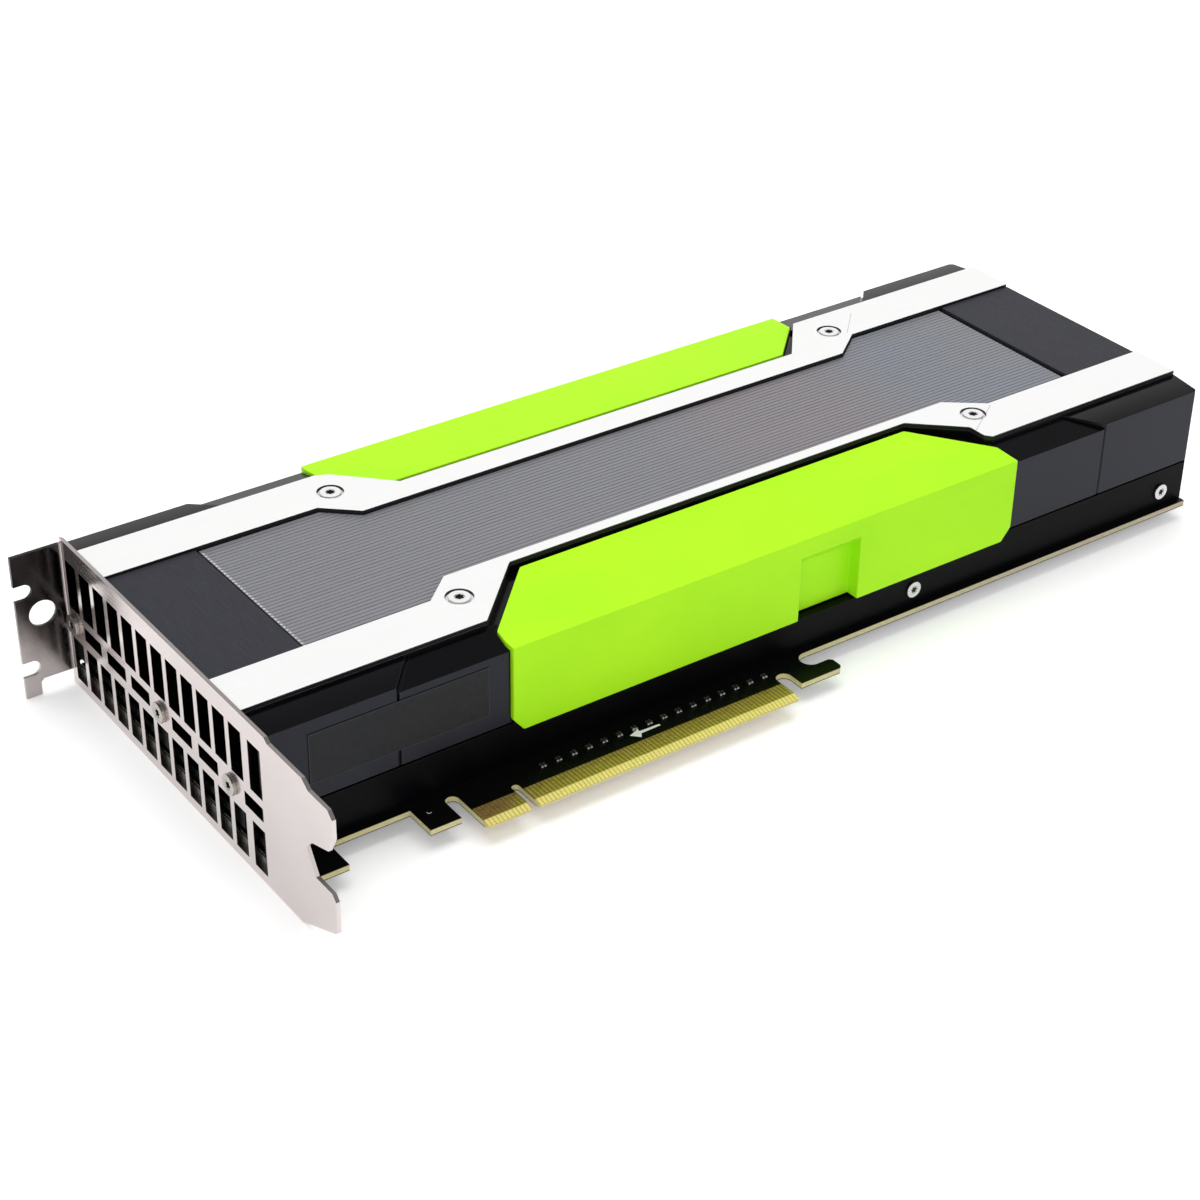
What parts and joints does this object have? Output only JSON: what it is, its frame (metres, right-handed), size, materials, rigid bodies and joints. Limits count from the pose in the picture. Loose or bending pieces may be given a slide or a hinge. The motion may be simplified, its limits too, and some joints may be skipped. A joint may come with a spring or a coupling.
{
  "type": "passive accelerator card",
  "caption": "Full-height dual-slot server accelerator card, passively cooled by through-flow fins under a flat shroud, with edge connector, perforated bracket and coloured side covers.",
  "frame": {"origin": "centre of the key notch in the edge connector, on the line of the connector's tips and on the component face of the board", "axes": "+X along the card from the slot bracket to the rear end, +Y across the card from the connector's tips to the far edge, +Z from the board towards the cooler"},
  "size_m": [0.2812, 0.1251, 0.0387],
  "materials": {
    "black_board": "black solder mask over glass fibre board",
    "gold_contact": "hard gold plating",
    "bracket_steel": "satin plated steel sheet",
    "screw_steel": "satin steel",
    "black_screw": "black oxide steel",
    "black_casting": "satin black paint on cast metal",
    "black_shroud": "fine textured black",
    "plate_black": "fine grained dark blue-grey",
    "green_cover": "satin bright green",
    "silver_strip": "satin clear anodised",
    "label_film": "dark matt film, bare",
    "fin_aluminium": "bare thin sheet",
    "copper": "bare copper",
    "paste": "grey compound",
    "package_green": "laminate package",
    "die_silicon": "polished silicon",
    "chip_black": "moulded compound",
    "pad_grey": "soft thermal pad",
    "ferrite": "pressed ferrite",
    "ceramic_tan": "fired ceramic with plated ends",
    "capacitor_can": "drawn can",
    "insulator_film": "black polyester sheet",
    "socket_black": "moulded nylon",
    "pin_metal": "tin plated brass"
  },
  "bodies": {
    "root": {"circuit_board": "black_board", "edge_contacts_top": "gold_contact", "edge_contacts_bottom": "gold_contact", "mounting_bracket": "bracket_steel", "bracket_screws": "screw_steel", "base_frame": "black_casting", "base_frame_screws": "black_screw", "upper_shroud": "black_shroud", "shroud_side_screws": "screw_steel", "near_side_panel": "black_shroud", "far_side_panel": "black_shroud", "near_accent_cover": "green_cover", "far_accent_cover": "green_cover", "near_trim_strip": "silver_strip", "far_trim_strip": "silver_strip", "trim_screws": "screw_steel", "front_top_plate": "plate_black", "rear_top_plate": "plate_black", "side_label": "label_film", "fin_stack": "fin_aluminium", "vapour_chamber": "copper", "thermal_paste": "paste", "processor_package": "package_green", "package_stiffener": "screw_steel", "processor_die": "die_silicon", "memory_chips": "chip_black", "memory_thermal_pads": "pad_grey", "retention_plate": "bracket_steel", "retention_insulator": "insulator_film", "vent_seal": "insulator_film", "retention_screws": "screw_steel", "back_capacitors": "ceramic_tan", "power_inductors": "ferrite", "power_stages": "chip_black", "power_stage_pad": "pad_grey", "output_capacitors": "chip_black", "input_capacitors": "capacitor_can", "power_connector": "socket_black", "power_connector_pins": "pin_metal", "coupling_capacitors": "ceramic_tan", "firmware_chip": "chip_black", "clock_crystal": "capacitor_can", "voltage_controller": "chip_black"}
  },
  "joints": []
}
